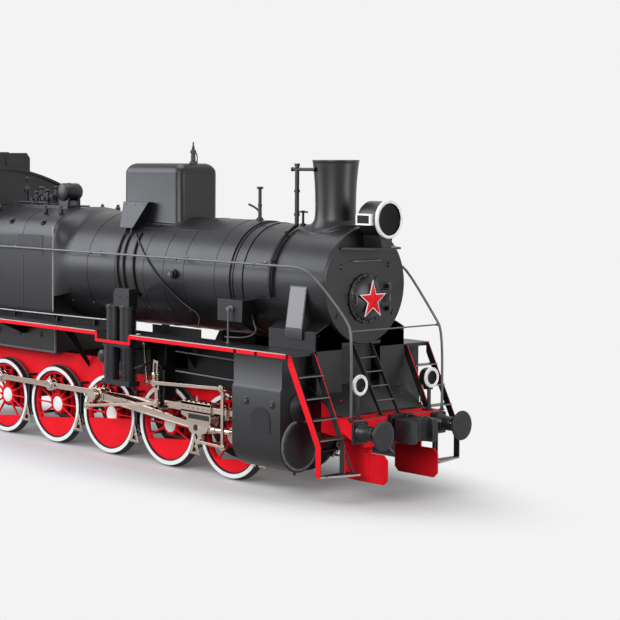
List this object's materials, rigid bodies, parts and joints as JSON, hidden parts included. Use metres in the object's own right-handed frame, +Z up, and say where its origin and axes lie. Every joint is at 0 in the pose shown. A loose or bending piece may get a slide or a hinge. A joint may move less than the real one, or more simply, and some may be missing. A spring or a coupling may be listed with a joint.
{
  "type": "steam locomotive",
  "caption": "Steam locomotive without tender: spoked coupled wheels, outside cylinders with open valve motion, round boiler, tall chimney, plain star on the smokebox door, enclosed cab.",
  "frame": {"origin": "middle of the bounding box at the foot of the wheel flanges", "axes": "+Z up, -Y towards the front buffers, +X to the locomotive's left"},
  "size_m": [3.16, 11.935, 5.273],
  "materials": {
    "black_paint": "gloss",
    "red_paint": "gloss",
    "bright_steel": "oily satin",
    "dark_iron": "matte"
  },
  "bodies": {
    "chassis": {"main_frame": "red_paint", "buffer_beam": "red_paint", "buffer_left": "dark_iron", "buffer_right": "dark_iron", "coupler": "dark_iron", "rail_guard_left": "red_paint", "rail_guard_right": "red_paint", "marker_lamp_left": "black_paint", "marker_lamp_right": "black_paint", "smokebox": "black_paint", "chimney": "black_paint", "saddle": "black_paint", "headlamp": "black_paint", "boiler_barrel": "black_paint", "firebox": "black_paint", "ashpan": "dark_iron", "dome_casing": "black_paint", "turbo_generator": "dark_iron", "blast_pipe": "black_paint", "lubricator": "black_paint", "air_pump": "dark_iron", "cab_front": "black_paint", "cab_side_left": "black_paint", "cab_side_right": "black_paint", "cab_roof": "black_paint", "cab_floor": "black_paint", "running_board_left": "black_paint", "running_board_right": "black_paint", "side_ladder_left": "black_paint", "side_ladder_right": "black_paint", "centre_ladder": "black_paint", "handrail_left": "black_paint", "handrail_right": "black_paint", "cylinder_left": "black_paint", "cylinder_right": "black_paint", "slide_bar_left": "dark_iron", "slide_bar_right": "dark_iron", "valve_gear_left": "bright_steel", "valve_gear_right": "bright_steel", "brake_beam_1": "bright_steel", "brake_beam_2": "bright_steel", "brake_beam_3": "bright_steel", "brake_beam_4": "bright_steel", "brake_beam_5": "bright_steel"},
    "wheelset_1": {"wheelset_1": "red_paint"},
    "wheelset_2": {"wheelset_2": "red_paint"},
    "wheelset_3": {"wheelset_3": "red_paint"},
    "wheelset_4": {"wheelset_4": "red_paint"},
    "wheelset_5": {"wheelset_5": "red_paint"},
    "side_rod_left": {"side_rod_left": "bright_steel"},
    "side_rod_right": {"side_rod_right": "bright_steel"},
    "crosshead_left": {"crosshead_left": "bright_steel"},
    "crosshead_right": {"crosshead_right": "bright_steel"},
    "main_rod_left": {"main_rod_left": "bright_steel"},
    "main_rod_right": {"main_rod_right": "bright_steel"},
    "smokebox_door": {"smokebox_door": "black_paint", "door_star": "red_paint"},
    "cab_door_left": {"cab_door_left": "black_paint"},
    "cab_door_right": {"cab_door_right": "black_paint"}
  },
  "joints": [
    {"name": "wheelset_1_turn", "type": "hinge", "parent": "chassis", "child": "wheelset_1", "pos_m": [0, -2.8725, 0.688], "axis": [1, 0, 0], "continuous": true},
    {"name": "wheelset_2_turn", "type": "hinge", "parent": "chassis", "child": "wheelset_2", "pos_m": [0, -1.4275, 0.688], "axis": [1, 0, 0], "continuous": true},
    {"name": "wheelset_3_turn", "type": "hinge", "parent": "chassis", "child": "wheelset_3", "pos_m": [0, 0.0175, 0.688], "axis": [1, 0, 0], "continuous": true},
    {"name": "wheelset_4_turn", "type": "hinge", "parent": "chassis", "child": "wheelset_4", "pos_m": [0, 1.4625, 0.688], "axis": [1, 0, 0], "continuous": true},
    {"name": "wheelset_5_turn", "type": "hinge", "parent": "chassis", "child": "wheelset_5", "pos_m": [0, 2.9075, 0.688], "axis": [1, 0, 0], "continuous": true},
    {"name": "side_rod_right_pin", "type": "hinge", "parent": "wheelset_3", "child": "side_rod_right", "pos_m": [-0.955, 0.0175, 1.038], "axis": [1, 0, 0], "continuous": true},
    {"name": "crosshead_right_slide", "type": "slide", "parent": "chassis", "child": "crosshead_right", "axis": [0, 1, 0], "range_m": [-0.3584, 0.3416]},
    {"name": "main_rod_right_pin", "type": "hinge", "parent": "crosshead_right", "child": "main_rod_right", "pos_m": [-1.12, -2.48148, 0.803], "axis": [1, 0, 0], "range_deg": [-16.05, 0]},
    {"name": "side_rod_left_pin", "type": "hinge", "parent": "wheelset_3", "child": "side_rod_left", "pos_m": [0.955, 0.3675, 0.688], "axis": [1, 0, 0], "continuous": true},
    {"name": "crosshead_left_slide", "type": "slide", "parent": "chassis", "child": "crosshead_left", "axis": [0, 1, 0], "range_m": [-0.7, 0]},
    {"name": "main_rod_left_pin", "type": "hinge", "parent": "crosshead_left", "child": "main_rod_left", "pos_m": [1.12, -2.13986, 0.803], "axis": [1, 0, 0], "range_deg": [-8.05, 8]},
    {"name": "smokebox_door_hinge", "type": "hinge", "parent": "chassis", "child": "smokebox_door", "pos_m": [0.475, -4.8785, 2.926], "axis": [0, 0, 1], "range_deg": [0, 110]},
    {"name": "cab_door_left_hinge", "type": "hinge", "parent": "chassis", "child": "cab_door_left", "pos_m": [1.514, 5.1855, 2.984], "axis": [0, 0, -1], "range_deg": [0, 100]},
    {"name": "cab_door_right_hinge", "type": "hinge", "parent": "chassis", "child": "cab_door_right", "pos_m": [-1.514, 5.1855, 2.984], "axis": [0, 0, 1], "range_deg": [0, 100]}
  ],
  "couplings": [
    {"joint": "wheelset_1_turn", "follows": "wheelset_3_turn", "ratio": 1},
    {"joint": "wheelset_2_turn", "follows": "wheelset_3_turn", "ratio": 1},
    {"joint": "wheelset_4_turn", "follows": "wheelset_3_turn", "ratio": 1},
    {"joint": "wheelset_5_turn", "follows": "wheelset_3_turn", "ratio": 1},
    {"joint": "side_rod_right_pin", "follows": "wheelset_3_turn", "ratio": -1},
    {"joint": "side_rod_left_pin", "follows": "wheelset_3_turn", "ratio": -1}
  ]
}
